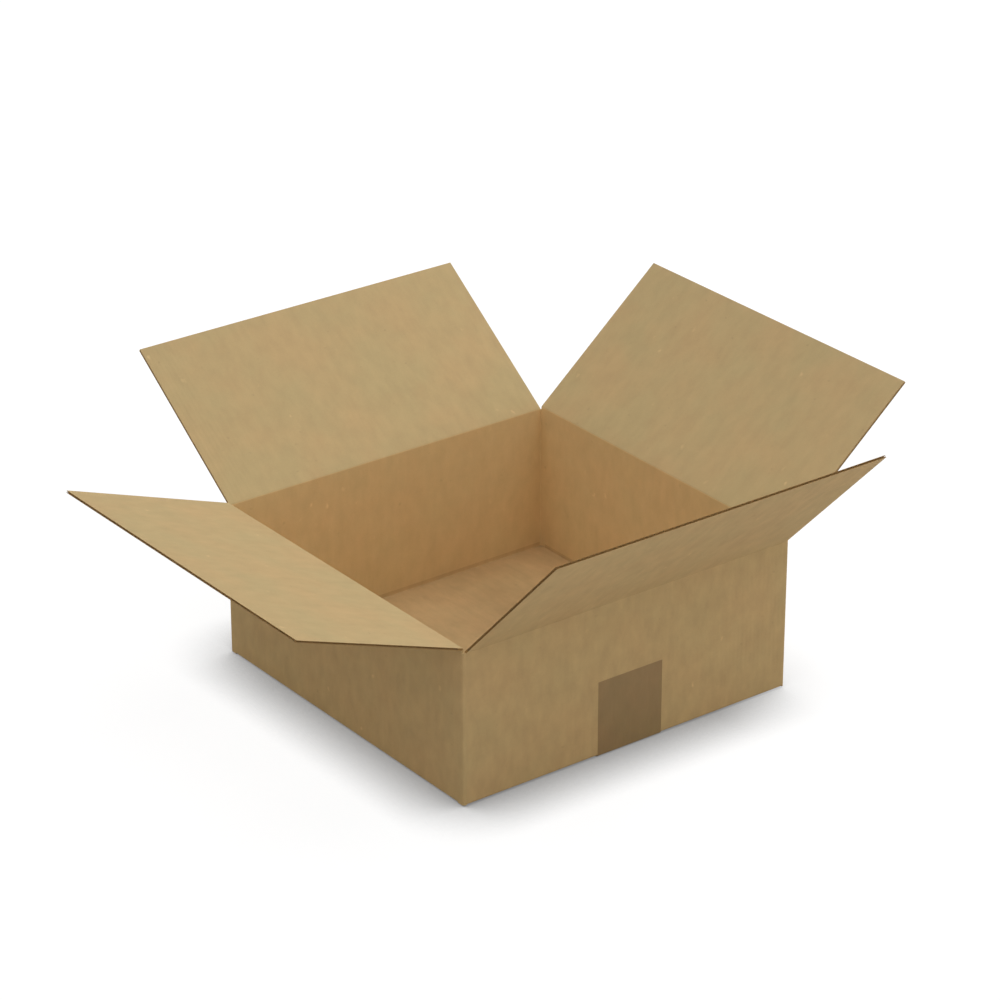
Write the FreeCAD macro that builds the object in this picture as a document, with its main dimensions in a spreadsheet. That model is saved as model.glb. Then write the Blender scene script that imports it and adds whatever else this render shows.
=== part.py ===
# A square carton of thin corrugated board, set up and open at the top.
# The frame: the origin is in the middle of the underside, on the standing plane, and Z is up.
# The front wall faces -Y and the left wall faces -X. Lengths are in mm and angles in degrees.
# Each top flap is drawn upright with its score on the outer face of its wall, then leans outwards
# round that score. Closed, the front and back flaps lie under the left and right ones.
import FreeCAD, Part
import Sketcher
import os

Vector = FreeCAD.Vector

doc = FreeCAD.newDocument("carton")

dims = doc.addObject("Spreadsheet::Sheet", "dims")
sizes = [
    ("inside_width", "250", "between the faces of opposite walls, the same both ways"),
    ("board", "1.5", "thickness of the board"),
    ("inner_score_height", "103.7", "score of the front and back flaps above the standing plane"),
    ("layer_gap", "0.1", "air between two layers of folded board"),
    ("flap_length", "124", "from the score to the free edge"),
    ("seam_gap", "1.6", "between the free edges of two bottom flaps that meet"),
    ("flap_inset", "1.9", "from the outer corner to the side of a top flap, half of the slot between two"),
    ("bottom_inset", "1.9", "from the outer corner to the side of a front or back bottom flap"),
    ("step_length", "6", "how far in the front and back bottom flaps climb onto the other two"),
    ("step_clearance", "0.4", "from the end of that climb to the side of a left or right bottom flap"),
    ("inner_fold_radius", "0.5", "inner radius of a folded edge"),
    ("front_lean", "43.9", "from upright, outwards, as the flap stands"),
    ("back_lean", "54.2", "from upright, outwards, as the flap stands"),
    ("left_lean", "70.2", "from upright, outwards, as the flap stands"),
    ("right_lean", "49.8", "from upright, outwards, as the flap stands"),
    ("tape_width", "50", "width of the packing tape"),
    ("tape_thickness", "0.1", "thickness of the packing tape"),
    ("tape_tail", "52", "height of the tape's ends on the front and back walls"),
    ("tape_offset", "0.4", "from the middle of the wall to the middle of the tape"),
    ("tab_width", "32", "width of the glued lap behind the left wall"),
    ("tab_taper", "7", "height lost at each end of the lap towards its free edge"),
    ("tab_margin", "7", "from the folds above and below to the ends of the lap"),
]
for row, (word, number, meaning) in enumerate(sizes, start=1):
    dims.set(f"A{row}", word)
    dims.set(f"B{row}", number)
    dims.set(f"C{row}", meaning)
    dims.setAlias(f"B{row}", word)

# Sizes that follow from the ones above.
derived = [
    ("half_out", "=inside_width / 2 + board", "from the middle to the outer face of a wall"),
    ("half_in", "=inside_width / 2", "from the middle to the inner face of a wall"),
    ("outer_score_height", "=inner_score_height + board + layer_gap", "score of the left and right flaps"),
    ("outer_floor", "=tape_thickness", "underside of the left and right bottom flaps"),
    ("inner_floor", "=outer_floor + board + layer_gap", "underside of the front and back bottom flaps"),
    ("fold_radius", "=inner_fold_radius + board", "outer radius of a folded edge"),
    ("wall_foot", "=inner_floor + board + fold_radius", "where the walls meet the folds of the bottom"),
    ("slope", "=(board + layer_gap) / step_length", "rise of the climb over its length"),
    ("slant", "=board * sqrt(1 + slope * slope)", "thickness of the climbing board, measured upright"),
]
for row, (word, formula, meaning) in enumerate(derived, start=len(sizes) + 1):
    dims.set(f"A{row}", word)
    dims.set(f"B{row}", formula)
    dims.set(f"C{row}", meaning)
    dims.setAlias(f"B{row}", word)
doc.recompute()


def sketch_on(body, name, role):
    """An empty sketch on one of the body's own origin planes."""
    sketch = body.newObject("Sketcher::SketchObject", name)
    plane = [item for item in body.Origin.OriginFeatures if item.Role == role][0]
    sketch.AttachmentSupport = [(plane, "")]
    sketch.MapMode = "FlatFace"
    return sketch


def outline(sketch, corners, start):
    """A closed outline of straight lines. Each corner is a pair of formulas, start a pair of rough numbers."""
    first = sketch.GeometryCount
    count = len(corners)
    for index in range(count):
        here = Vector(start[index][0], start[index][1], 0)
        there = Vector(start[(index + 1) % count][0], start[(index + 1) % count][1], 0)
        sketch.addGeometry(Part.LineSegment(here, there))
    for index in range(count):
        following = first + (index + 1) % count
        sketch.addConstraint(Sketcher.Constraint("Coincident", first + index, 2, following, 1))
    for index, corner in enumerate(corners):
        for kind, formula, rough in zip(("DistanceX", "DistanceY"), corner, start[index]):
            number = sketch.addConstraint(Sketcher.Constraint(kind, -1, 1, first + index, 1, rough))
            sketch.setExpression(f"Constraints[{number}]", formula)


def pad_both_ways(body, name, sketch, length):
    """A pad by the whole of length, half to each side of the sketch."""
    pad = body.newObject("PartDesign::Pad", name)
    pad.Profile = sketch
    pad.SideType = "Symmetric"
    pad.setExpression("Length", length)
    return pad


def edges_along(shape, direction, reach):
    """Names of the edges that run along direction and whose middle passes the test reach."""
    names = []
    for number, edge in enumerate(shape.Edges, start=1):
        span = edge.Vertexes[-1].Point - edge.Vertexes[0].Point
        if span.Length > 0 and abs(abs(span.normalize().dot(direction)) - 1) < 1e-6:
            if reach(edge.CenterOfMass):
                names.append(f"Edge{number}")
    return names


def fillet(body, name, base, edge_names, radius):
    """Round the named edges of base."""
    round_edge = body.newObject("PartDesign::Fillet", name)
    round_edge.Base = (base, edge_names)
    round_edge.setExpression("Radius", radius)
    return round_edge


X = Vector(1, 0, 0)
Y = Vector(0, 1, 0)
Z = Vector(0, 0, 1)

# The four walls, a square tube with its vertical folds rounded.
walls = doc.addObject("PartDesign::Body", "walls")
tube_plan = sketch_on(walls, "tube_plan", "XY_Plane")
outline(
    tube_plan,
    [
        ("-dims.half_out", "-dims.half_out"),
        ("dims.half_out", "-dims.half_out"),
        ("dims.half_out", "dims.half_out"),
        ("-dims.half_out", "dims.half_out"),
    ],
    [(-9, -9), (9, -9), (9, 9), (-9, 9)],
)
outline(
    tube_plan,
    [
        ("-dims.half_in", "-dims.half_in"),
        ("dims.half_in", "-dims.half_in"),
        ("dims.half_in", "dims.half_in"),
        ("-dims.half_in", "dims.half_in"),
    ],
    [(-8, -8), (8, -8), (8, 8), (-8, 8)],
)
tube_plan.setExpression("AttachmentOffset.Base.z", "dims.outer_floor")
tube = walls.newObject("PartDesign::Pad", "tube")
tube.Profile = tube_plan
tube.setExpression("Length", "dims.outer_score_height - dims.outer_floor")
doc.recompute()

middle = float(dims.get("half_out")) - float(dims.get("board")) / 2
outer_folds = edges_along(tube.Shape, Z, lambda at: abs(at.x) > middle and abs(at.y) > middle)
tube_outer = fillet(walls, "tube_outer_folds", tube, outer_folds, "dims.fold_radius")
doc.recompute()
inner_folds = edges_along(tube_outer.Shape, Z, lambda at: abs(at.x) < middle and abs(at.y) < middle)
tube_inner = fillet(walls, "tube_inner_folds", tube_outer, inner_folds, "dims.inner_fold_radius")
doc.recompute()

# The scores of the front and back flaps. The wall's edge slopes down inwards at 45 degrees, so that
# the flap's own slope meets it when the flap is closed.
inner_scores = sketch_on(walls, "inner_scores", "YZ_Plane")
for side, sign in (("-", -1), ("", 1)):
    outline(
        inner_scores,
        [
            (f"{side}(dims.half_out + 1)", "dims.inner_score_height + 1"),
            (f"{side}(dims.half_in - 1)", "dims.inner_score_height - dims.board - 1"),
            (f"{side}(dims.half_in - 1)", "dims.outer_score_height + 2"),
            (f"{side}(dims.half_out + 1)", "dims.outer_score_height + 2"),
        ],
        [(sign * 10, 6), (sign * 7, 3), (sign * 7, 9), (sign * 10, 9)],
    )
inner_score_cut = walls.newObject("PartDesign::Pocket", "inner_score_cut")
inner_score_cut.Profile = inner_scores
inner_score_cut.SideType = "Symmetric"
inner_score_cut.setExpression("Length", "2 * dims.half_out + 4")
doc.recompute()

# The scores of the left and right flaps, one layer of board higher.
outer_scores = sketch_on(walls, "outer_scores", "XZ_Plane")
for side, sign in (("-", -1), ("", 1)):
    outline(
        outer_scores,
        [
            (f"{side}(dims.half_out + 1)", "dims.outer_score_height + 1"),
            (f"{side}(dims.half_in - 1)", "dims.outer_score_height - dims.board - 1"),
            (f"{side}(dims.half_in - 1)", "dims.outer_score_height + 2"),
            (f"{side}(dims.half_out + 1)", "dims.outer_score_height + 2"),
        ],
        [(sign * 10, 6), (sign * 7, 3), (sign * 7, 9), (sign * 10, 9)],
    )
outer_score_cut = walls.newObject("PartDesign::Pocket", "outer_score_cut")
outer_score_cut.Profile = outer_scores
outer_score_cut.SideType = "Symmetric"
outer_score_cut.setExpression("Length", "2 * dims.half_out + 4")
doc.recompute()

# The walls stop above the bottom flaps' folds and reach the floor only beside them, at the corners.
for foot_name, role, inset in (
    ("front_back_foot", "XZ_Plane", "dims.bottom_inset"),
    ("left_right_foot", "YZ_Plane", "dims.step_length + dims.step_clearance"),
):
    foot_outline = sketch_on(walls, f"{foot_name}_outline", role)
    outline(
        foot_outline,
        [
            (f"-(dims.half_out - ({inset}))", "-dims.board"),
            (f"dims.half_out - ({inset})", "-dims.board"),
            (f"dims.half_out - ({inset})", "dims.wall_foot"),
            (f"-(dims.half_out - ({inset}))", "dims.wall_foot"),
        ],
        [(-9, -1), (9, -1), (9, 3), (-9, 3)],
    )
    foot_cut = walls.newObject("PartDesign::Pocket", foot_name)
    foot_cut.Profile = foot_outline
    foot_cut.SideType = "Symmetric"
    foot_cut.setExpression("Length", "2 * dims.half_out + 4")
    doc.recompute()


def bottom_pair(name, role, direction, corners, start, inset):
    """Two bottom flaps that face each other: a short rise in the wall, the fold and the flap."""
    made = []
    foot = float(dims.get("wall_foot"))
    for side, sign, word in (("-", -1, "first"), ("", 1, "second")):
        body = doc.addObject("PartDesign::Body", f"{name}_{word}")
        section = sketch_on(body, f"{name}_{word}_section", role)
        outline(
            section,
            [(f"{side}({across})", height) for across, height in corners],
            [(sign * across, height) for across, height in start],
        )
        pad = pad_both_ways(body, f"{name}_{word}_board", section, f"2 * (dims.half_out - ({inset}))")
        doc.recompute()
        outer_edge = edges_along(
            pad.Shape,
            direction,
            lambda at: abs(max(abs(at.x), abs(at.y)) - out_face) < 0.01 and at.z < foot,
        )
        outer_round = fillet(body, f"{name}_{word}_outer_fold", pad, outer_edge, "dims.fold_radius")
        doc.recompute()
        inner_edge = edges_along(
            outer_round.Shape,
            direction,
            lambda at: abs(max(abs(at.x), abs(at.y)) - in_face) < 0.01 and at.z < foot,
        )
        fillet(body, f"{name}_{word}_inner_fold", outer_round, inner_edge, "dims.inner_fold_radius")
        doc.recompute()
        made.append(body)
    return made


# The bottom. The front and back flaps are folded first. They climb from the foot of their wall onto
# the left and right flaps, which close over them from below and meet along the middle, where the
# tape holds them.
out_face = float(dims.get("half_out"))
in_face = float(dims.get("half_in"))
inner_bottom = bottom_pair(
    "bottom_inner",
    "YZ_Plane",
    X,
    [
        ("dims.half_out", "dims.outer_floor"),
        ("dims.half_out - dims.step_length", "dims.inner_floor"),
        ("dims.seam_gap / 2", "dims.inner_floor"),
        ("dims.seam_gap / 2", "dims.inner_floor + dims.board"),
        (
            "dims.half_out - (dims.layer_gap + 2 * dims.board - dims.slant) / dims.slope",
            "dims.inner_floor + dims.board",
        ),
        ("dims.half_in", "dims.outer_floor + dims.slope * dims.board + dims.slant"),
        ("dims.half_in", "dims.wall_foot + dims.board"),
        ("dims.half_out", "dims.wall_foot + dims.board"),
    ],
    [(10, 0), (8, 1), (1, 1), (1, 2), (8, 2), (9, 1.5), (9, 8), (10, 8)],
    "dims.bottom_inset",
)
outer_bottom = bottom_pair(
    "bottom_outer",
    "XZ_Plane",
    Y,
    [
        ("dims.half_out", "dims.outer_floor"),
        ("dims.seam_gap / 2", "dims.outer_floor"),
        ("dims.seam_gap / 2", "dims.outer_floor + dims.board"),
        ("dims.half_in", "dims.outer_floor + dims.board"),
        ("dims.half_in", "dims.wall_foot + dims.board"),
        ("dims.half_out", "dims.wall_foot + dims.board"),
    ],
    [(10, 0), (1, 0), (1, 1), (9, 1), (9, 8), (10, 8)],
    "dims.step_length + dims.step_clearance",
)

# The glued lap. It comes round the back left fold from the back wall and is glued to the inner
# face of the left wall, with its ends cut on a slope.
lap = doc.addObject("PartDesign::Body", "glued_lap")
lap_outline = sketch_on(lap, "lap_outline", "YZ_Plane")
outline(
    lap_outline,
    [
        ("dims.half_in", "dims.wall_foot + dims.tab_margin"),
        ("dims.half_in", "dims.inner_score_height - dims.board - dims.tab_margin"),
        (
            "dims.half_in - dims.tab_width",
            "dims.inner_score_height - dims.board - dims.tab_margin - dims.tab_taper",
        ),
        ("dims.half_in - dims.tab_width", "dims.wall_foot + dims.tab_margin + dims.tab_taper"),
    ],
    [(9, 1), (9, 9), (6, 8), (6, 2)],
)
lap_outline.setExpression("AttachmentOffset.Base.z", "-dims.half_in")
lap_board = lap.newObject("PartDesign::Pad", "lap_board")
lap_board.Profile = lap_outline
lap_board.setExpression("Length", "dims.board")
doc.recompute()

box_body = doc.addObject("Part::MultiFuse", "box_body")
box_body.Shapes = [walls] + inner_bottom + outer_bottom + [lap]
box_body.Refine = True
doc.recompute()


def top_flap(name, section_role, side, sign, word, axis, lean, wall):
    """One top flap, drawn upright with its score at the origin and then leaned outwards."""
    body = doc.addObject("PartDesign::Body", name)
    section = sketch_on(body, f"{name}_section", section_role)
    outline(
        section,
        [
            ("0 mm", "0 mm"),
            (f"{side}dims.board", "dims.board"),
            (f"{side}dims.board", "dims.flap_length"),
            ("0 mm", "dims.flap_length"),
        ],
        [(0, 0), (sign * 2, 2), (sign * 2, 9), (0, 9)],
    )
    pad_both_ways(body, f"{name}_board", section, "2 * (dims.half_out - dims.flap_inset)")
    body.Placement = FreeCAD.Placement(Vector(0, 0, 0), FreeCAD.Rotation(axis, 30))
    body.setExpression("Placement.Rotation.Angle", f"dims.{lean}")
    body.setExpression(f"Placement.Base.{wall}", f"{'-' if side == '' else ''}dims.half_out")
    body.setExpression("Placement.Base.z", f"dims.{word}_score_height")
    doc.recompute()
    return body


flap_front = top_flap("flap_front", "YZ_Plane", "", 1, "inner", X, "front_lean", "y")
flap_back = top_flap("flap_back", "YZ_Plane", "-", -1, "inner", -X, "back_lean", "y")
flap_left = top_flap("flap_left", "XZ_Plane", "", 1, "outer", -Y, "left_lean", "x")
flap_right = top_flap("flap_right", "XZ_Plane", "-", -1, "outer", Y, "right_lean", "x")

# The tape: one strip under the bottom seam that turns up the front and back walls.
bottom_tape = doc.addObject("PartDesign::Body", "bottom_tape")
tape_section = sketch_on(bottom_tape, "tape_section", "YZ_Plane")
outline(
    tape_section,
    [
        ("-(dims.half_out + dims.tape_thickness)", "0 mm"),
        ("dims.half_out + dims.tape_thickness", "0 mm"),
        ("dims.half_out + dims.tape_thickness", "dims.tape_tail"),
        ("dims.half_out", "dims.tape_tail"),
        ("dims.half_out", "dims.tape_thickness"),
        ("-dims.half_out", "dims.tape_thickness"),
        ("-dims.half_out", "dims.tape_tail"),
        ("-(dims.half_out + dims.tape_thickness)", "dims.tape_tail"),
    ],
    [(-9, 0), (9, 0), (9, 7), (8, 7), (8, 1), (-8, 1), (-8, 7), (-9, 7)],
)
tape_section.setExpression("AttachmentOffset.Base.z", "dims.tape_offset")
tape_strip = pad_both_ways(bottom_tape, "tape_strip", tape_section, "dims.tape_width")
doc.recompute()
half = float(dims.get("half_out"))
thin = float(dims.get("tape_thickness"))
tape_outer_edges = edges_along(
    tape_strip.Shape, X, lambda at: abs(at.y) > half + thin / 2 and at.z < thin / 2
)
tape_outer = fillet(
    bottom_tape, "tape_outer_turn", tape_strip, tape_outer_edges, "dims.fold_radius + dims.tape_thickness"
)
doc.recompute()
tape_inner_edges = edges_along(
    tape_outer.Shape, X, lambda at: half - thin < abs(at.y) < half + thin / 2 and at.z < 2 * thin
)
fillet(bottom_tape, "tape_inner_turn", tape_outer, tape_inner_edges, "dims.fold_radius")
doc.recompute()

for item in doc.Objects:
    for word in ("Invalid", "Error"):
        if word in item.State:
            raise RuntimeError(f"{item.Name} is {word}")

nodes = [box_body, flap_front, flap_back, flap_left, flap_right, bottom_tape]
os.makedirs("parts", exist_ok=True)
for node in nodes:
    shape = node.Shape
    if shape.isNull() or not shape.isValid() or len(shape.Solids) != 1:
        raise RuntimeError(f"{node.Name} is not one valid solid")
    shape.exportStep(f"parts/{node.Name}.step")
    box = shape.BoundBox
    print(
        node.Name,
        f"x {box.XMin:.2f} {box.XMax:.2f}",
        f"y {box.YMin:.2f} {box.YMax:.2f}",
        f"z {box.ZMin:.2f} {box.ZMax:.2f}",
        f"volume {shape.Volume:.0f}",
    )
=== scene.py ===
import bpy
import bmesh
import math
from mathutils import Matrix, Vector


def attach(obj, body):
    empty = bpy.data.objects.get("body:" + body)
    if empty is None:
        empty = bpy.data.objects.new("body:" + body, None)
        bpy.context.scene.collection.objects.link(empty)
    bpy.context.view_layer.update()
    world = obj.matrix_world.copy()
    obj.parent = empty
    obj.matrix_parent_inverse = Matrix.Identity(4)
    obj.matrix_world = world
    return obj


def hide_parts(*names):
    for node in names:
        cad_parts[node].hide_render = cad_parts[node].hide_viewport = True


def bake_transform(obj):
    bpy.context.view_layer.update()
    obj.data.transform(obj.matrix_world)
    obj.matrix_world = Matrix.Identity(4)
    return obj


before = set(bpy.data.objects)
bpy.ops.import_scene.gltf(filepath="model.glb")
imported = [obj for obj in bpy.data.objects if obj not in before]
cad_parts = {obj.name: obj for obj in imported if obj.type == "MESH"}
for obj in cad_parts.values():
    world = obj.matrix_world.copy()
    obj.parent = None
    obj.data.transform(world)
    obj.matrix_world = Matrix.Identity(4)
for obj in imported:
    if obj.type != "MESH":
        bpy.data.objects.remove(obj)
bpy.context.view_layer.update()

MM = 0.001
HALF = 126.5 * MM          # middle to the outer face of a wall
BOARD = 1.5 * MM
FOLD = 2.0 * MM            # outer radius of a folded edge
SCORE_IN = 103.7 * MM      # score of the front and back flaps
SCORE_OUT = 105.3 * MM     # score of the left and right flaps
FLAP = 124.0 * MM
INSET = 1.9 * MM           # outer corner to the side of a flap
FLOOR_OUT = 0.1 * MM
FLOOR_IN = 1.7 * MM
SEAM = 0.8 * MM            # half of the gap between two bottom flaps that meet
BOTTOM_INSET = 1.9 * MM    # outer corner to the side of a front or back bottom flap
CLIMB = 6.0 * MM           # how far in the front and back bottom flaps climb onto the other two
CLIMB_ROUND = 0.6 * MM     # from the climb's upper corner to where its rounding ends
WIDE_INSET = 6.4 * MM      # outer corner to the side of a left or right bottom flap
LAP_WIDTH = 32 * MM
LAP_TAPER = 7 * MM
LAP_MARGIN = 7 * MM        # from the folds above and below to the ends of the lap
REACH = 3.0 * MM           # how far the crease piece reaches from the score, both ways
LINER = 0.25 * MM
FLUTE = 0.17 * MM          # thickness of the fluting paper
PITCH = 3.3 * MM           # flute pitch
TAPE = 0.1 * MM
TAPE_WIDTH = 50 * MM
TAPE_TAIL = 52 * MM
TAPE_OFFSET = 0.4 * MM     # middle of the wall to the middle of the tape
TURN_STEPS = 8             # faces round a fold
UP = Vector((0, 0, 1))

# Walls in order round the box, seen from above and counted anticlockwise from the front: k counts
# them, out is the way that they face, lean is how far the flap leans outwards from upright, post is
# the width of the uncut strip at each corner, and end the height of that strip's lower end.
WALLS = {
    "front": dict(k=0, out=Vector((0, -1, 0)), lean=43.9, post=BOTTOM_INSET, end=1.2 * MM, score=SCORE_IN),
    "right": dict(k=1, out=Vector((1, 0, 0)), lean=49.8, post=WIDE_INSET, end=0.6 * MM, score=SCORE_OUT),
    "back": dict(k=2, out=Vector((0, 1, 0)), lean=54.2, post=BOTTOM_INSET, end=1.2 * MM, score=SCORE_IN),
    "left": dict(k=3, out=Vector((-1, 0, 0)), lean=70.2, post=WIDE_INSET, end=0.6 * MM, score=SCORE_OUT),
}
for wall in WALLS.values():
    wall["along"] = UP.cross(wall["out"])
    wall["sheet"] = wall["k"] * 2 * HALF     # its middle's place on the unfolded sheet

OUTER, EDGE_PAINTED_SHADE, MEDIUM, INNER, WALL_INNER_PAINTED_LIGHT, BASE_INNER_PAINTED_LIGHT = 0, 1, 2, 3, 4, 5
INSIDE_SHIFT = 3.0         # the inner faces take their pattern from another part of the paper


class Build:
    """Collects faces with a material and a place on the unfolded sheet for each corner."""

    def __init__(self):
        self.verts = []
        self.faces = []
        self.mats = []
        self.uvs = []

    def face(self, points, mat, uvs):
        start = len(self.verts)
        self.verts.extend(points)
        self.faces.append(tuple(range(start, start + len(points))))
        self.mats.append(mat)
        self.uvs.append(uvs)

    def make(self, name, materials, angle=38, merge=2e-6):
        mesh = bpy.data.meshes.new(name)
        mesh.from_pydata([tuple(v) for v in self.verts], [], self.faces)
        layer = mesh.uv_layers.new(name="blank")
        i = 0
        for face_uvs in self.uvs:
            for uv in face_uvs:
                layer.data[i].uv = uv
                i += 1
        for m in materials:
            mesh.materials.append(m)
        mesh.polygons.foreach_set("material_index", self.mats)
        bm = bmesh.new()
        bm.from_mesh(mesh)
        bmesh.ops.remove_doubles(bm, verts=bm.verts, dist=merge)
        bm.to_mesh(mesh)
        bm.free()
        mesh.shade_smooth()
        mesh.set_sharp_from_angle(angle=math.radians(angle))
        ob = bpy.data.objects.new(name, mesh)
        bpy.context.scene.collection.objects.link(ob)
        return ob


def side_uv(a, b):
    """The place on the sheet of a cut face that runs from a to b, across the board."""
    return [(a, 0), (b, 0), (b, BOARD), (a, BOARD)]


def ribbon(
    build, outer, inner, dev, place, spans, u0, cap_start=True, cap_end=True, sides=None, lining=INNER
):
    """A board whose section is outer and inner (lists of 2-D points), run sideways over each point's span.
    dev is the place of each section point on the unfolded sheet. sides has the material of each length
    of the two side faces, and lining the material of the inner face, or of each length of it."""
    n = len(outer)
    if isinstance(spans, tuple):
        spans = [spans] * n
    for i in range(n - 1):
        p, q = outer[i], outer[i + 1]
        r, s = inner[i], inner[i + 1]
        v0, v1 = dev[i], dev[i + 1]
        (a0, a1), (b0, b1) = spans[i], spans[i + 1]
        build.face(
            [place(p, a0), place(p, a1), place(q, b1), place(q, b0)],
            OUTER,
            [(u0 + a0, v0), (u0 + a1, v0), (u0 + b1, v1), (u0 + b0, v1)],
        )
        w0, w1 = v0 + INSIDE_SHIFT, v1 + INSIDE_SHIFT
        build.face(
            [place(r, a1), place(r, a0), place(s, b0), place(s, b1)],
            lining[i] if isinstance(lining, list) else lining,
            [(u0 + a1, w0), (u0 + a0, w0), (u0 + b0, w1), (u0 + b1, w1)],
        )
        for a, c, flip in ((a0, b0, False), (a1, b1, True)):
            pts = [place(p, a), place(q, c), place(s, c), place(r, a)]
            uv = side_uv(v0, v1)
            if flip:
                pts.reverse()
                uv.reverse()
            build.face(pts, sides[i] if sides else EDGE_PAINTED_SHADE, uv)
    for want, i, flip in ((cap_start, 0, True), (cap_end, n - 1, False)):
        if want:
            p, r = outer[i], inner[i]
            a0, a1 = spans[i]
            pts = [place(p, a0), place(p, a1), place(r, a1), place(r, a0)]
            uv = side_uv(u0 + a0, u0 + a1)
            if flip:
                pts.reverse()
                uv.reverse()
            build.face(pts, EDGE_PAINTED_SHADE, uv)


def arc(cx, cy, r, t0, t1, steps):
    """Points of an arc, angles in degrees."""
    return [
        (cx + r * math.cos(math.radians(t0 + (t1 - t0) * i / steps)),
         cy + r * math.sin(math.radians(t0 + (t1 - t0) * i / steps)))
        for i in range(steps + 1)
    ]


def wall_place(wall):
    """Section points are (depth inwards from the outer face, height)."""
    def place(p, a):
        return wall["out"] * (HALF - p[0]) + wall["along"] * a + UP * p[1]
    return place


def flap_place(wall):
    """Flap points are (depth from the outer face, length from the score) in the flap's own plane."""
    lean = math.radians(wall["lean"])
    hinge = wall["out"] * HALF + UP * wall["score"]
    length = wall["out"] * math.sin(lean) + UP * math.cos(lean)
    depth = -wall["out"] * math.cos(lean) + UP * math.sin(lean)
    def place(p, a):
        return hinge + depth * p[0] + length * p[1] + wall["along"] * a
    return place


# Materials.

def nodes_of(mat):
    mat.use_nodes = True
    tree = mat.node_tree
    bsdf = tree.nodes["Principled BSDF"]
    return tree, bsdf


def node(tree, kind, **values):
    made = tree.nodes.new(kind)
    for key, value in values.items():
        setattr(made, key, value)
    return made


def math_node(tree, op, a, b, clamp=False):
    made = node(tree, "ShaderNodeMath", operation=op, use_clamp=clamp)
    for i, x in enumerate((a, b)):
        if isinstance(x, (int, float)):
            made.inputs[i].default_value = x
        else:
            tree.links.new(x, made.inputs[i])
    return made.outputs[0]


def scaled(tree, vector, scale, shift=(0, 0, 0)):
    made = node(tree, "ShaderNodeMapping")
    tree.links.new(vector, made.inputs["Vector"])
    made.inputs["Scale"].default_value = scale
    made.inputs["Location"].default_value = shift
    return made.outputs[0]


def noise(tree, vector, scale, detail, rough):
    made = node(tree, "ShaderNodeTexNoise")
    tree.links.new(vector, made.inputs["Vector"])
    made.inputs["Scale"].default_value = scale
    made.inputs["Detail"].default_value = detail
    made.inputs["Roughness"].default_value = rough
    return made.outputs["Fac"]


def ramp(tree, fac, low, high, out_low=0.0, out_high=1.0):
    made = node(tree, "ShaderNodeMapRange")
    tree.links.new(fac, made.inputs["Value"])
    made.inputs["From Min"].default_value = low
    made.inputs["From Max"].default_value = high
    made.inputs["To Min"].default_value = out_low
    made.inputs["To Max"].default_value = out_high
    return made.outputs["Result"]


def mix_color(tree, fac, a, b, blend="MIX"):
    made = node(tree, "ShaderNodeMix", data_type="RGBA", blend_type=blend)
    made.clamp_factor = True
    for socket, x in ((made.inputs[0], fac), (made.inputs[6], a), (made.inputs[7], b)):
        if isinstance(x, (int, float)):
            socket.default_value = x
        elif isinstance(x, tuple):
            socket.default_value = (*x, 1.0)
        else:
            tree.links.new(x, socket)
    return made.outputs[2]


def specks(tree, vector, cells, radius, share, stretch, seed):
    """Small soft marks: 1 in the middle of a mark. share is how many cells have one."""
    moved = scaled(tree, vector, stretch, seed)
    warp = node(tree, "ShaderNodeVectorMath", operation="ADD")
    tree.links.new(moved, warp.inputs[0])
    wobble = node(tree, "ShaderNodeTexNoise")
    tree.links.new(moved, wobble.inputs["Vector"])
    wobble.inputs["Scale"].default_value = cells * 3
    small = node(tree, "ShaderNodeVectorMath", operation="SCALE")
    tree.links.new(wobble.outputs["Color"], small.inputs[0])
    small.inputs["Scale"].default_value = 0.35 / cells
    tree.links.new(small.outputs[0], warp.inputs[1])
    cell = node(tree, "ShaderNodeTexVoronoi")
    tree.links.new(warp.outputs[0], cell.inputs["Vector"])
    cell.inputs["Scale"].default_value = cells
    near = ramp(tree, cell.outputs["Distance"], 0.0, radius * cells, 1.0, 0.0)
    split = node(tree, "ShaderNodeSeparateColor")
    tree.links.new(cell.outputs["Color"], split.inputs[0])
    chosen = ramp(tree, split.outputs[0], 1.0 - share, 1.0 - share + 0.3, 0.0, 1.0)
    return math_node(tree, "MULTIPLY", near, chosen, clamp=True)


def grey_color(tree, value):
    """The grey colour of a value."""
    made = node(tree, "ShaderNodeCombineColor")
    for i in range(3):
        tree.links.new(value, made.inputs[i])
    return made.outputs[0]


def times(base, share):
    return tuple(min(1, c * k) for c, k in zip(base, share))


def bumped(tree, bsdf, height):
    """Height in metres, as small bumps of the surface."""
    bump = node(tree, "ShaderNodeBump")
    bump.inputs["Strength"].default_value = 1.0
    bump.inputs["Distance"].default_value = 1.0
    tree.links.new(height, bump.inputs["Height"])
    tree.links.new(bump.outputs[0], bsdf.inputs["Normal"])


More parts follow.
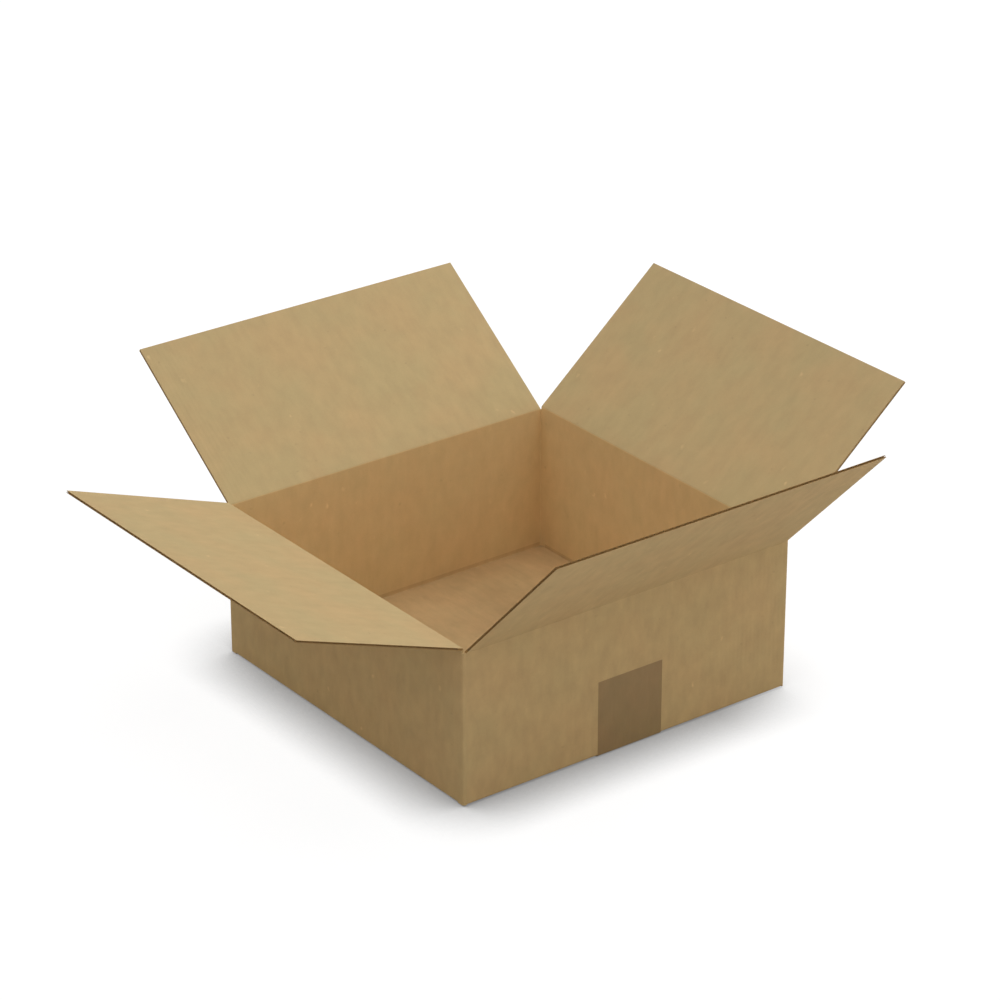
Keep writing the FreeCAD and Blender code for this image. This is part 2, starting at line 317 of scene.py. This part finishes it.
def kraft(name, base, tint, mottle):
    """Brown liner paper: soft pink and green clouds, mottles, streaks along the flutes, pale and dark
    specks, and the flutes showing faintly through. tint and mottle say how strong the clouds and the
    mottles are."""
    mat = bpy.data.materials.new(name)
    tree, bsdf = nodes_of(mat)
    uv = node(tree, "ShaderNodeUVMap", uv_map="blank").outputs[0]
    pink = times(base, (1 + tint, 1 - 0.3 * tint, 1 - 0.7 * tint))
    green = times(base, (1 - tint, 1.0, 1 - 0.2 * tint))
    broad = noise(tree, uv, 22.0, 3.0, 0.55)
    color = mix_color(tree, ramp(tree, broad, 0.36, 0.64), green, pink)
    cloud = noise(tree, scaled(tree, uv, (1.3, 0.8, 1), (4.1, 2.2, 0)), 75.0, 4.0, 0.6)
    streak = noise(tree, scaled(tree, uv, (3.4, 1.0, 1), (1.7, 0.3, 0)), 48.0, 2.0, 0.5)
    grain = noise(tree, scaled(tree, uv, (1.0, 0.6, 1), (0.2, 7.9, 0)), 1500.0, 2.0, 0.6)
    soft, long = 0.078 * mottle, 0.038 * mottle * mottle
    value = ramp(tree, cloud, 0.25, 0.75, 1 - soft, 1 + soft)
    value = math_node(tree, "ADD", value, ramp(tree, streak, 0.25, 0.75, -long, long))
    value = math_node(tree, "ADD", value, ramp(tree, grain, 0.25, 0.75, -0.025, 0.025))
    color = mix_color(tree, 1.0, color, grey_color(tree, value), "MULTIPLY")
    light = specks(tree, uv, 85.0, 0.0016, 0.38, (1.0, 0.7, 1), (3.1, 5.3, 0))
    dark = specks(tree, uv, 150.0, 0.0011, 0.30, (0.8, 1.0, 1), (8.7, 1.9, 0))
    pale, deep = times(base, (1.55, 1.55, 1.55)), times(base, (0.50, 0.50, 0.50))
    color = mix_color(tree, math_node(tree, "MULTIPLY", light, 0.55), color, pale)
    color = mix_color(tree, math_node(tree, "MULTIPLY", dark, 0.34), color, deep)
    tree.links.new(color, bsdf.inputs["Base Color"])
    bsdf.inputs["Roughness"].default_value = 0.82
    bsdf.inputs["Specular IOR Level"].default_value = 0.25
    wave = node(tree, "ShaderNodeTexWave", wave_type="BANDS", bands_direction="X", wave_profile="SIN")
    tree.links.new(uv, wave.inputs["Vector"])
    # At a scale of 1 the wave texture has 3.1831 bands in each unit of length.
    wave.inputs["Scale"].default_value = 1.0 / PITCH / 3.1831
    wave.inputs["Distortion"].default_value = 0.0
    height = math_node(tree, "MULTIPLY", wave.outputs["Fac"], 0.018 * MM)
    height = math_node(tree, "ADD", height, math_node(tree, "MULTIPLY", grain, 0.05 * MM))
    height = math_node(tree, "ADD", height, math_node(tree, "MULTIPLY", cloud, 0.08 * MM))
    bumped(tree, bsdf, height)
    return mat


def cut_edge(name, base):
    """Paper where the board is cut, with a rough tone round the base colour. The dark base of the cut
    faces is partly painted shade.
    """
    mat = bpy.data.materials.new(name)
    tree, bsdf = nodes_of(mat)
    uv = node(tree, "ShaderNodeUVMap", uv_map="blank").outputs[0]
    rough = noise(tree, scaled(tree, uv, (1.0, 3.0, 1)), 700.0, 3.0, 0.6)
    deep, pale = times(base, (0.75, 0.75, 0.75)), times(base, (1.3, 1.3, 1.3))
    color = mix_color(tree, ramp(tree, rough, 0.3, 0.7), deep, pale)
    tree.links.new(color, bsdf.inputs["Base Color"])
    bsdf.inputs["Roughness"].default_value = 0.95
    bsdf.inputs["Specular IOR Level"].default_value = 0.1
    return mat


def tape_material(name, base):
    """Brown film, smoother than paper, with the mottles of the board under it."""
    mat = bpy.data.materials.new(name)
    tree, bsdf = nodes_of(mat)
    uv = node(tree, "ShaderNodeUVMap", uv_map="blank").outputs[0]
    broad = noise(tree, uv, 24.0, 3.0, 0.55)
    cloud = noise(tree, scaled(tree, uv, (1.3, 0.8, 1), (4.1, 2.2, 0)), 75.0, 4.0, 0.6)
    fine = noise(tree, scaled(tree, uv, (6.0, 1.0, 1), (1.4, 6.2, 0)), 90.0, 2.0, 0.5)
    green, pink = times(base, (0.965, 1.0, 0.98)), times(base, (1.03, 0.985, 0.99))
    color = mix_color(tree, ramp(tree, broad, 0.36, 0.64), green, pink)
    value = ramp(tree, cloud, 0.25, 0.75, 0.93, 1.07)
    value = math_node(tree, "ADD", value, ramp(tree, fine, 0.25, 0.75, -0.03, 0.03))
    color = mix_color(tree, 1.0, color, grey_color(tree, value), "MULTIPLY")
    tree.links.new(color, bsdf.inputs["Base Color"])
    bsdf.inputs["Roughness"].default_value = 0.42
    bsdf.inputs["Specular IOR Level"].default_value = 0.35
    height = math_node(tree, "MULTIPLY", cloud, 0.10 * MM)
    height = math_node(tree, "ADD", height, math_node(tree, "MULTIPLY", fine, 0.03 * MM))
    bumped(tree, bsdf, height)
    return mat


outside = kraft("outer_liner", (0.524, 0.361, 0.166), 0.020, 1.0)
inside = kraft("inner_liner", (0.518, 0.379, 0.188), 0.030, 0.72)
# Painted light: the inner faces of the walls and the lap, and of the bottom, use brighter copies of the
# flaps' inner liner (about 1.3 and 1.1 times). They stand in for light that the lamps don't bring into the
# box.
wall_inside_painted_light = kraft("inner_liner_walls_painted_light", (0.672, 0.480, 0.236), 0.016, 0.72)
base_inside_painted_light = kraft("inner_liner_base_painted_light", (0.575, 0.394, 0.193), 0.018, 1.1)
# Painted shade: the cut faces are much darker than the paper. Part of this is the cut paper's own tone,
# and part is the shadow inside the flutes, painted in.
edge = cut_edge("cut_board_edge_painted_shade", (0.310, 0.176, 0.062))
flute = cut_edge("fluting_paper", (0.55, 0.35, 0.16))
tape = tape_material("brown_tape", (0.308, 0.197, 0.082))
BOARD_MATS = [outside, edge, flute, inside, wall_inside_painted_light, base_inside_painted_light]

# The box: walls, bottom and lap, one piece of board.

box = Build()

# The tube of walls, in upright strips. Each strip has its own foot and top.
flat = HALF - FOLD
foot = FLOOR_IN + BOARD + FOLD
corner_top = SCORE_IN - 0.15 * MM
strips = []
for wall in WALLS.values():
    along, out = wall["along"], wall["out"]
    u0 = wall["sheet"]
    root = HALF - INSET
    post = HALF - wall["post"]
    stops = sorted({-flat, flat, max(-flat, -root), min(flat, root), -post, post})
    for a, b in zip(stops, stops[1:]):
        if b - a < 1e-7:
            continue
        mid = (a + b) / 2
        low = foot if abs(mid) < post else wall["end"]
        top = wall["score"] - REACH if abs(mid) < root else corner_top
        ends = [(out * HALF + along * t, out * (HALF - BOARD) + along * t, u0 + t) for t in (a, b)]
        strips.append((ends[0], ends[1], low, top))
    centre = out * flat + along * flat
    turn = []
    for i in range(TURN_STEPS + 1):
        f = i / TURN_STEPS
        way = out * math.cos(math.pi / 2 * f) + along * math.sin(math.pi / 2 * f)
        turn.append((centre + way * FOLD, centre + way * (FOLD - BOARD), u0 + flat + 2 * FOLD * f))
    next_end = next(w["end"] for w in WALLS.values() if w["k"] == (wall["k"] + 1) % len(WALLS))
    for i, (a, b) in enumerate(zip(turn, turn[1:])):
        f = (i + 0.5) / TURN_STEPS
        strips.append((a, b, wall["end"] * (1 - f) + next_end * f, corner_top))
for i, ((o0, i0, s0), (o1, i1, s1), low, top) in enumerate(strips):
    box.face(
        [o0 + UP * low, o1 + UP * low, o1 + UP * top, o0 + UP * top],
        OUTER,
        [(s0, low), (s1, low), (s1, top), (s0, top)],
    )
    w0, w1 = low + INSIDE_SHIFT, top + INSIDE_SHIFT
    box.face(
        [i1 + UP * low, i0 + UP * low, i0 + UP * top, i1 + UP * top],
        WALL_INNER_PAINTED_LIGHT,
        [(s1, w0), (s0, w0), (s0, w1), (s1, w1)],
    )
    edge_uv = side_uv(s0, s1)
    box.face([o0 + UP * top, o1 + UP * top, i1 + UP * top, i0 + UP * top], WALL_INNER_PAINTED_LIGHT, edge_uv)
    box.face([i0 + UP * low, i1 + UP * low, o1 + UP * low, o0 + UP * low], EDGE_PAINTED_SHADE, edge_uv[::-1])
    # Where a neighbour is shorter, the cut face between them shows.
    for o, n, other in ((o0, i0, strips[i - 1]), (o1, i1, strips[(i + 1) % len(strips)])):
        for z0, z1 in ((other[3], top), (low, other[2])):
            if z1 - z0 > 1e-6:
                box.face([o + UP * z0, o + UP * z1, n + UP * z1, n + UP * z0], EDGE_PAINTED_SHADE, side_uv(z0, z1))

# The bottom flaps with their folds. The front and back ones climb onto the other two.
slope = (FLOOR_IN - FLOOR_OUT) / CLIMB
slant = BOARD * math.sqrt(1 + slope * slope)
end = HALF - SEAM
for name, wall in WALLS.items():
    if name in ("left", "right"):
        outer = [(0, foot)] + arc(FOLD, FLOOR_OUT + FOLD, FOLD, 180, 270, TURN_STEPS)
        inner = [(BOARD, foot)] + arc(FOLD, FLOOR_OUT + FOLD, FOLD - BOARD, 180, 270, TURN_STEPS)
        outer.append((end, FLOOR_OUT))
        inner.append((end, FLOOR_OUT + BOARD))
    else:
        tilt = math.degrees(math.atan(slope))
        lift = FOLD * (1 / math.cos(math.radians(tilt)) + slope)
        outer = [(0, foot)] + arc(FOLD, FLOOR_OUT + lift, FOLD, 180, 270 + tilt, TURN_STEPS)
        inner = [(BOARD, foot)] + arc(FOLD, FLOOR_OUT + lift, FOLD - BOARD, 180, 270 + tilt, TURN_STEPS)
        knee = (FLOOR_IN + BOARD - FLOOR_OUT - slant) / slope
        for line, turn_at, early, rise, level in (
            (outer, CLIMB, 0.6 * MM, 0, FLOOR_IN),
            (inner, knee, 0.5 * MM, slant, FLOOR_IN + BOARD),
        ):
            before = turn_at - early
            line.append((before, FLOOR_OUT + slope * before + rise))
            line.append((turn_at + CLIMB_ROUND, level))
            line.append((end, level))
    dev = [foot]
    for i in range(1, len(outer)):
        dev.append(dev[-1] - math.dist(outer[i], outer[i - 1]))
    reach = HALF - wall["post"]
    ribbon(
        box, outer, inner, dev, wall_place(wall), (-reach, reach), wall["sheet"],
        cap_start=False, lining=BASE_INNER_PAINTED_LIGHT,
    )

# The glued lap inside the left wall, at the back.
lap_low, lap_high = foot + LAP_MARGIN, SCORE_IN - BOARD - LAP_MARGIN
place = wall_place(WALLS["left"])
a_back = -(HALF - BOARD)
a_free = a_back + LAP_WIDTH
corners = [
    (a_back, lap_low),
    (a_free, lap_low + LAP_TAPER),
    (a_free, lap_high - LAP_TAPER),
    (a_back, lap_high),
]
top = [place((2 * BOARD, z), a) for a, z in corners]
base = [place((BOARD, z), a) for a, z in corners]
LAP_SHIFT = (WALLS["left"]["sheet"] + 0.4, 5.0)     # another part of the paper again
lap_uv = [(a + LAP_SHIFT[0], z + LAP_SHIFT[1]) for a, z in corners]
box.face([top[0], top[3], top[2], top[1]], WALL_INNER_PAINTED_LIGHT, [lap_uv[0], lap_uv[3], lap_uv[2], lap_uv[1]])
for i in range(4):
    j = (i + 1) % 4
    box.face([base[i], base[j], top[j], top[i]], EDGE_PAINTED_SHADE, side_uv(corners[i][1], corners[j][1]))

carton = box.make("carton_walls", BOARD_MATS)
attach(carton, "box")
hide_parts("box_body")

# The top flaps, each with its own crease.

for name, wall in WALLS.items():
    u0 = wall["sheet"]
    width = HALF - INSET
    place = flap_place(wall)
    score = wall["score"]
    lean = math.radians(wall["lean"])

    flap = Build()
    # Two liners with the fluting between them.
    for n0, n1 in ((0, LINER), (BOARD - LINER, BOARD)):
        outer = [(n0, REACH), (n0, FLAP)]
        inner = [(n1, REACH), (n1, FLAP)]
        ribbon(flap, outer, inner, [score + REACH, score + FLAP], place, (-width, width), u0)
    steps = 12
    waves = int(round(2 * width / PITCH))
    total = waves * steps
    swing = (BOARD - 2 * LINER - FLUTE) / 2 - 0.01 * MM
    section = []
    for i in range(total + 1):
        a = (-width + 0.15 * MM) * (1 - 2 * i / total)
        phase = 2 * math.pi * i / steps
        n = BOARD / 2 + swing * math.sin(phase)
        slope = swing * math.cos(phase) * 2 * math.pi / PITCH
        h = FLUTE / 2 * math.sqrt(1 + slope * slope * 0.3)
        section.append((a, n - h, n + h, FLAP - 0.05 * MM))
    for (a0, l0, h0, v0), (a1, l1, h1, v1) in zip(section, section[1:]):
        low = [place((l0, REACH), a0), place((l1, REACH), a1), place((l1, v1), a1), place((l0, v0), a0)]
        high = [place((h0, REACH), a0), place((h1, REACH), a1), place((h1, v1), a1), place((h0, v0), a0)]
        uv = [(a0, 0), (a1, 0), (a1, v1), (a0, v0)]
        flap.face(low, MEDIUM, uv)
        flap.face(high[::-1], MEDIUM, uv[::-1])
        flap.face([low[3], low[2], high[2], high[3]], EDGE_PAINTED_SHADE, [(a0, 0), (a1, 0), (a1, FLUTE), (a0, FLUTE)])
    piece = flap.make(f"flap_board_{name}", BOARD_MATS)
    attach(piece, f"{name}_flap")
    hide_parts(f"flap_{name}")

    # The crease: from the wall's top over the score to the flap's root.
    wp = wall_place(wall)
    sin, cos = math.sin(lean), math.cos(lean)

    def flap_point(n, v):
        """A point of the flap in the wall's (depth, height) plane."""
        return (n * cos - v * sin, score + n * sin + v * cos)

    bend = BOARD * math.tan(lean / 2)
    tight = 0.9 * MM
    outer = [(0, score - REACH)]
    inner = [(BOARD, score - REACH)]
    dev = [score - REACH]
    knots = 8
    o_a, o_b, o_c = (0, score - 0.5 * MM), (0.12 * MM, score), flap_point(0, 0.5 * MM)
    i_a, i_b, i_c = (BOARD, score + bend - tight), (BOARD, score + bend), flap_point(BOARD, tight - bend)
    for i in range(knots + 1):
        f = i / knots
        curve = [
            tuple((1 - f) ** 2 * x + 2 * f * (1 - f) * y + f * f * z for x, y, z in zip(p, q, r))
            for p, q, r in ((o_a, o_b, o_c), (i_a, i_b, i_c))
        ]
        outer.append(curve[0])
        inner.append(curve[1])
        dev.append(score + (2 * f - 1) * 0.7 * MM)
    outer.append(flap_point(0, REACH))
    inner.append(flap_point(BOARD, REACH))
    dev.append(score + REACH)
    crease = Build()
    half = knots // 2 + 1
    ribbon(
        crease, outer, inner, dev, wp, (-width, width), u0, cap_start=False, cap_end=False,
        sides=[OUTER] * half + [EDGE_PAINTED_SHADE] * half, lining=[WALL_INNER_PAINTED_LIGHT] * half + [INNER] * half,
    )
    strip = crease.make(f"crease_{name}", BOARD_MATS, angle=60)
    start = wp((BOARD / 2, score - 1.3 * MM), 0)
    end = wp(flap_point(BOARD / 2, 1.3 * MM), 0)
    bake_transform(strip)

# The tape, one strip under the bottom seam and up the front and back walls.

strip = Build()
half_width = TAPE_WIDTH / 2
turn_radius = FOLD + TAPE
outer = [(-TAPE, TAPE_TAIL)] + arc(FOLD, turn_radius, turn_radius, 180, 270, TURN_STEPS) + [(HALF, 0.0)]
inner = [(0, TAPE_TAIL)] + arc(FOLD, turn_radius, FOLD, 180, 270, TURN_STEPS) + [(HALF, TAPE)]
dev = [TAPE_TAIL]
for i in range(1, len(outer)):
    dev.append(dev[-1] - math.dist(outer[i], outer[i - 1]))
for name, sign in (("front", 1), ("back", -1)):
    wall = WALLS[name]
    centre = TAPE_OFFSET * sign
    span = (centre - half_width, centre + half_width)
    ribbon(strip, outer, inner, dev, wall_place(wall), span, wall["sheet"], cap_end=False)
strip.mats = [0] * len(strip.mats)
taped = strip.make("packing_tape", [tape], angle=50)
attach(taped, "box")
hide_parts("bottom_tape")

# Floor, light and camera.

bpy.ops.mesh.primitive_plane_add(size=12, location=(0, 0, -0.1 * MM))
ground = bpy.context.object
ground.name = "ground"
ground_mat = bpy.data.materials.new("ground_white_painted_shadow")
tree, bsdf = nodes_of(ground_mat)
bsdf.inputs["Base Color"].default_value = (0.78, 0.78, 0.78, 1)
bsdf.inputs["Roughness"].default_value = 0.9
bsdf.inputs["Specular IOR Level"].default_value = 0.1
# Seen by the camera the floor is an even white glow with a painted contact shadow: grey from ambient
# occlusion round the foot of the box, plus a little real diffuse shade.
near = node(tree, "ShaderNodeAmbientOcclusion", samples=6)
near.inputs["Distance"].default_value = 0.047
where = node(tree, "ShaderNodeSeparateXYZ")
tree.links.new(node(tree, "ShaderNodeTexCoord").outputs["Object"], where.inputs[0])
# Painted shadow mask by floor position: the painted shadow is made weaker towards the right and the back.
shadow_fade_right = ramp(tree, where.outputs["X"], 0.07, 0.135, 1.0, 0.25)
shadow_fade_back = ramp(tree, where.outputs["Y"], 0.07, 0.135, 1.0, 0.75)
depth = math_node(tree, "MULTIPLY", math_node(tree, "MULTIPLY", shadow_fade_right, shadow_fade_back), 1.85)
grey = math_node(tree, "POWER", math_node(tree, "MAXIMUM", near.outputs["AO"], 0.43), depth)
floor_glow_painted_shadow = node(tree, "ShaderNodeEmission")
floor_glow_painted_shadow.inputs["Strength"].default_value = 0.91
tree.links.new(grey_color(tree, grey), floor_glow_painted_shadow.inputs["Color"])
thin = node(tree, "ShaderNodeBsdfDiffuse")
thin.inputs["Color"].default_value = (0.15, 0.15, 0.15, 1)
seen = node(tree, "ShaderNodeAddShader")
tree.links.new(floor_glow_painted_shadow.outputs[0], seen.inputs[0])
tree.links.new(thin.outputs[0], seen.inputs[1])
path = node(tree, "ShaderNodeLightPath")
pick = node(tree, "ShaderNodeMixShader")
tree.links.new(path.outputs["Is Camera Ray"], pick.inputs[0])
tree.links.new(bsdf.outputs[0], pick.inputs[1])
tree.links.new(seen.outputs[0], pick.inputs[2])
tree.links.new(pick.outputs[0], tree.nodes["Material Output"].inputs["Surface"])
ground.data.materials.append(ground_mat)

world = bpy.data.worlds.new("studio")
bpy.context.scene.world = world
world.use_nodes = True
wt = world.node_tree
background = wt.nodes["Background"]
background.inputs["Color"].default_value = (1.0, 1.0, 1.0, 1)
path = wt.nodes.new("ShaderNodeLightPath")
strength = wt.nodes.new("ShaderNodeMapRange")
wt.links.new(path.outputs["Is Camera Ray"], strength.inputs["Value"])
strength.inputs["To Min"].default_value = 0.15
strength.inputs["To Max"].default_value = 1.0
wt.links.new(strength.outputs[0], background.inputs["Strength"])

LIGHT_SIZE = 1.6
LIGHT_TARGET = Vector((0, 0, 0.08))
for name, where, power in (
    ("top", (0, 0, 2.4), 13.2),
    ("front", (0, -2.0, 1.4), 15.6),
    ("right", (2.0, 0, 1.4), 29.0),
    ("back", (0, 2.0, 1.4), 15.0),
    ("left", (-2.0, 0, 1.4), 12.8),
):
    data = bpy.data.lights.new(name, "AREA")
    data.shape = "SQUARE"
    data.size = LIGHT_SIZE
    data.energy = power
    lamp = bpy.data.objects.new(name, data)
    lamp.location = where
    lamp.rotation_euler = (LIGHT_TARGET - Vector(where)).to_track_quat("-Z", "Y").to_euler()
    bpy.context.scene.collection.objects.link(lamp)

# The camera stands back from the box's middle, at the photograph's angle and distance.
DISTANCE, SIDE, RISE = 2.45495, -0.003181, 0.108207
azimuth, elevation, roll = math.radians(-37.092), math.radians(25.446), math.radians(-0.002)
right = Vector((math.cos(azimuth), math.sin(azimuth), 0))
back = Vector((math.sin(azimuth), -math.cos(azimuth), 0)) * math.cos(elevation) + UP * math.sin(elevation)
up = back.cross(right)
cam_data = bpy.data.cameras.new("camera")
cam_data.sensor_fit = "HORIZONTAL"
cam_data.sensor_width = 36
cam_data.lens = 137.90
cam_data.clip_end = 50
camera = bpy.data.objects.new("camera", cam_data)
camera.location = back * DISTANCE + right * SIDE + up * RISE
right_r = right * math.cos(roll) + up * math.sin(roll)
up_r = -right * math.sin(roll) + up * math.cos(roll)
camera.rotation_euler = Matrix((right_r, up_r, back)).transposed().to_euler()
bpy.context.scene.collection.objects.link(camera)
bpy.context.scene.camera = camera
bpy.context.scene.view_settings.view_transform = "Standard"
bpy.context.scene.view_settings.look = "None"
